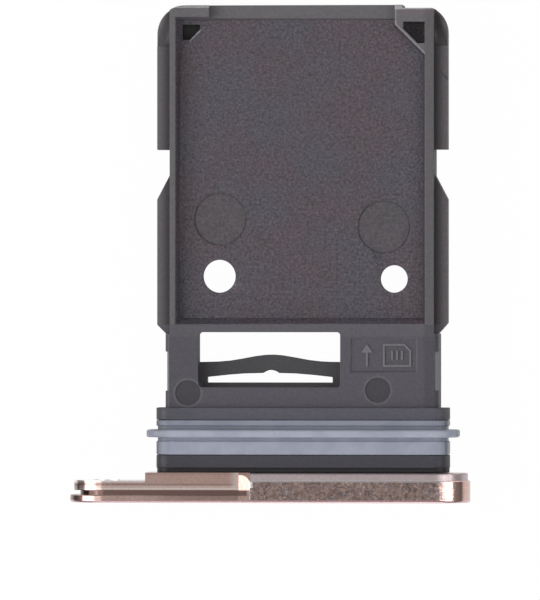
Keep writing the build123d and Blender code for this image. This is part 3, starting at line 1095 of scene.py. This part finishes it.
def add_walls(mesh, outlines, closed_top=True):
    """Raise each outline from the field's floor, with or without a top."""
    for line in outlines:
        low = [at_field(mesh, point, FIELD_FLOOR - SIGN_SINK) for point in line]
        high = [at_field(mesh, point, SIGN_TOP) for point in line]
        for i in range(len(line)):
            j = (i + 1) % len(line)
            mesh.faces.new((low[i], low[j], high[j], high[i]))
        if closed_top:
            mesh.faces.new(high)


def make_sign():
    """Card outline, its contacts and an arrow as one raised piece."""
    mesh = bmesh.new()
    raised_ring(mesh, card_outline(0), card_outline(SIGN_LINE))
    shapes = [stroke(CARD_PLACE + step * CONTACT_PITCH, -CONTACT_HALF, CONTACT_HALF)
              for step in (-1, 0, 1)]
    shapes.append(stroke(ARROW_PLACE, -ARROW_HALF, ARROW_HEAD_START))
    shapes.append([(ARROW_PLACE - ARROW_HEAD_HALF, ARROW_HEAD_START),
                   (ARROW_PLACE + ARROW_HEAD_HALF, ARROW_HEAD_START), (ARROW_PLACE, ARROW_HALF)])
    add_walls(mesh, shapes)
    data = bpy.data.meshes.new("raised_sign")
    mesh.to_mesh(data)
    mesh.free()
    piece = bpy.data.objects.new("raised_sign", data)
    scene.collection.objects.link(piece)
    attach(piece, "root")
    print(f"raised_sign: {len(data.polygons)} faces")
    return piece


raised_sign = make_sign()
raised_sign.data.materials.append(frame_moulding.data.materials[0])

# %% [markdown]
# ## The floor and the room
# The tray lies on a wide sheet of white paper. The sheet and the room are white to the camera,
# so no horizon shows, and a little of the true paper is left in, which carries the shadow. In
# reflections only a strip beside the tray is white, and the room is grey above and dark at the
# horizon. That draws the dark line on the metal's round ends, between the lamps and the floor.

# %% White paper
FLOOR_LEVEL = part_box("head")[0].z
PAPER = (0.80, 0.80, 0.80)
PAPER_FIBRE = (0.82, 0.82, 0.82)
FIBRES_PER_MM = 0.02
PAPER_WHITE = 0.985
FLOOR_RADIUS = 1.5
STRIP_CENTRE = 1.4
STRIP_HALF = 11.5
FAR_FLOOR = 0.20


def white_to(tree_wire, names):
    """1 for the kinds of ray that should find white."""
    rays = [tree_wire.node("ShaderNodeLightPath", out=name) for name in names]
    return rise(sum(rays[1:], rays[0]), 0, 1)


def floor_paper():
    """Pale paper that looks white to the camera and in reflections, but keeps shadows."""
    material, place = start_finish("floor_paper")
    fibres = grain(place, FIBRES_PER_MM, 3, 0.5)
    paper = place.node("ShaderNodeBsdfPrincipled", inputs={
        "Base Color": mixed(fibres, PAPER, PAPER_FIBRE), "Roughness": 0.8})
    beyond = rise(absolute(place.axes()[0] - STRIP_CENTRE), STRIP_HALF - 1, STRIP_HALF + 1)
    mirrored = place.node("ShaderNodeLightPath", out="Is Glossy Ray")
    white = place.node("ShaderNodeEmission", inputs={
        "Color": mixed(beyond * mirrored, (1, 1, 1), (FAR_FLOOR,) * 3)})
    share = PAPER_WHITE * white_to(place, ("Is Camera Ray", "Is Glossy Ray", "Is Transmission Ray"))
    shader = place.node("ShaderNodeMixShader", inputs={0: share, 1: paper, 2: white})
    return close_finish(material, shader)


def lay_floor():
    """Wide round sheet below the tray."""
    mesh = bmesh.new()
    bmesh.ops.create_circle(mesh, cap_ends=True, segments=96, radius=FLOOR_RADIUS)
    data = bpy.data.meshes.new("floor")
    mesh.to_mesh(data)
    mesh.free()
    piece = bpy.data.objects.new("floor", data)
    piece.location = (0, 0, FLOOR_LEVEL)
    scene.collection.objects.link(piece)
    data.materials.append(floor_paper())
    print(f"floor: at {FLOOR_LEVEL / MM:.2f} mm")


lay_floor()

# %% [markdown]
# ## The grey room
# The room is a colour for each direction, so it costs nothing to render. It is darkest at the
# sides, where the horizon is, and lightest straight above, and the lamps do the rest.

# %% Grey room
ROOM_GREY = 0.55
HORIZON_GREY = 0.20
ROOM_WHITE = 0.99
LOW_SHARE = 0.38
TOP_SHARE = 0.62
SIDE_FADE = (0.4, 0.8)
LOW_FADE = (0.05, 0.5)
TOP_FADE = (0.80, 0.99)

world = bpy.data.worlds.new("room")
world.use_nodes = True
world.node_tree.nodes.clear()
room = Wire(world.node_tree)
across, _, up = room.node("ShaderNodeTexCoord", out="Generated").axes()
sideways = rise(absolute(across), *SIDE_FADE) * fall(up, *LOW_FADE)
lit = LOW_SHARE * (1 - sideways) + TOP_SHARE * rise(up, *TOP_FADE)
horizon = room.node("ShaderNodeBackground", inputs={"Color": (HORIZON_GREY,) * 3 + (1,)})
ceiling = room.node("ShaderNodeBackground", inputs={"Color": (ROOM_GREY,) * 3 + (1,)})
grey_room = room.node("ShaderNodeMixShader", inputs={0: lit, 1: horizon, 2: ceiling})
white_room = room.node("ShaderNodeBackground", inputs={"Color": (ROOM_WHITE,) * 3 + (1,)})
seen = room.node("ShaderNodeLightPath", out="Is Camera Ray")
both = room.node("ShaderNodeMixShader", inputs={0: seen, 1: grey_room, 2: white_room})
room.node("ShaderNodeOutputWorld", inputs={"Surface": both})
scene.world = world
print(f"room: grey {ROOM_GREY} above, {HORIZON_GREY} at the horizon, white to the camera")
